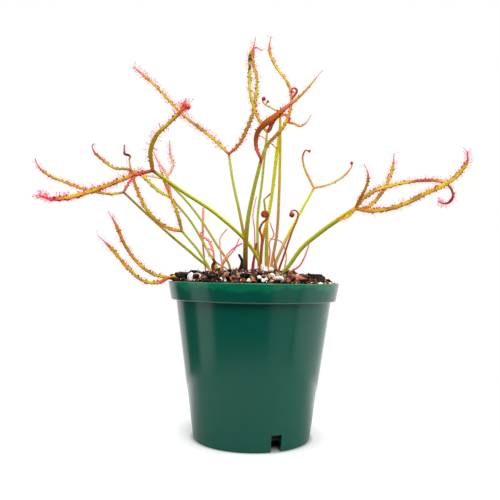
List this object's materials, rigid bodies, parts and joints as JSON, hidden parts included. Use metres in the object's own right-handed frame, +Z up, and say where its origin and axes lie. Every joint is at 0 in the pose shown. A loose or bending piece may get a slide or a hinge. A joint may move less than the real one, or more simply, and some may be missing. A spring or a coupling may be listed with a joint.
{
  "type": "potted sundew",
  "caption": "Fork-leaved sundew growing in a round tapered plastic nursery pot, a carnivorous house plant that stands on a table or windowsill.",
  "frame": {"origin": "on the pot's axis, at the surface that its foot stands on", "axes": "+Z up along the pot's axis; -Y towards the front of the plant; +X to the plant's right as seen from the front"},
  "size_m": [0.2611, 0.1, 0.249],
  "materials": {
    "pot_plastic": "deep green moulded polypropylene, smooth and slightly glossy",
    "potting_mix": "loose peat and fine bark, dark brown, dull",
    "bark": "composted bark chip, dark brown to black with rusty fibres",
    "perlite": "expanded perlite, off-white and crumbly",
    "leaf_gold": "golden leaf blade with red edges and sticky red gland hairs",
    "leaf_green": "smooth yellow-green leaf stalk, satin",
    "leaf_olive": "ageing olive-brown leaf, satin",
    "leaf_rust": "rust-red young leaf, satin",
    "leaf_pink": "pink-red young leaf, translucent and satin",
    "leaf_tan": "pale tan withering leaf, dull",
    "leaf_dead": "blackened dead stalk, dull and wrinkled"
  },
  "bodies": {
    "root": {"pot": "pot_plastic", "potting_mix": "potting_mix", "leaf_left_long": "leaf_gold", "leaf_back_tall": "leaf_gold", "leaf_front_tall": "leaf_gold", "leaf_middle_hooked": "leaf_gold", "leaf_middle_short": "leaf_green", "leaf_middle_tall": "leaf_green", "leaf_folded": "leaf_olive", "leaf_right_upright": "leaf_green", "leaf_right_long": "leaf_gold", "leaf_left_bushy": "leaf_green", "leaf_left_wide": "leaf_green", "leaf_left_yellow": "leaf_green", "leaf_left_inner": "leaf_green", "leaf_over_rim": "leaf_gold", "fiddlehead_left": "leaf_rust", "fiddlehead_right": "leaf_rust", "young_leaf_pink": "leaf_pink", "young_leaf_left": "leaf_green", "young_leaf_bent": "leaf_tan", "young_leaf_red": "leaf_rust", "young_leaf_far": "leaf_pink", "young_leaf_hooked": "leaf_tan", "young_leaf_pale": "leaf_tan", "young_leaf_right": "leaf_pink", "young_leaf_back": "leaf_tan", "stalk_red": "leaf_rust", "stalk_tan": "leaf_tan", "stalk_dead": "leaf_dead", "stalk_dead_left": "leaf_dead", "bark_chip_01": "bark", "bark_chip_02": "bark", "bark_chip_03": "bark", "bark_chip_04": "bark", "bark_chip_05": "bark", "bark_chip_06": "bark", "bark_chip_07": "bark", "bark_chip_08": "bark", "bark_chip_09": "bark", "bark_chip_10": "bark", "bark_chip_11": "bark", "bark_chip_12": "bark", "bark_chip_13": "bark", "bark_chip_14": "bark", "perlite_grain_01": "perlite", "perlite_grain_02": "perlite", "perlite_grain_03": "perlite", "perlite_grain_04": "perlite", "perlite_grain_05": "perlite", "perlite_grain_06": "perlite", "perlite_grain_07": "perlite", "perlite_grain_08": "perlite", "perlite_grain_09": "perlite"}
  },
  "joints": []
}
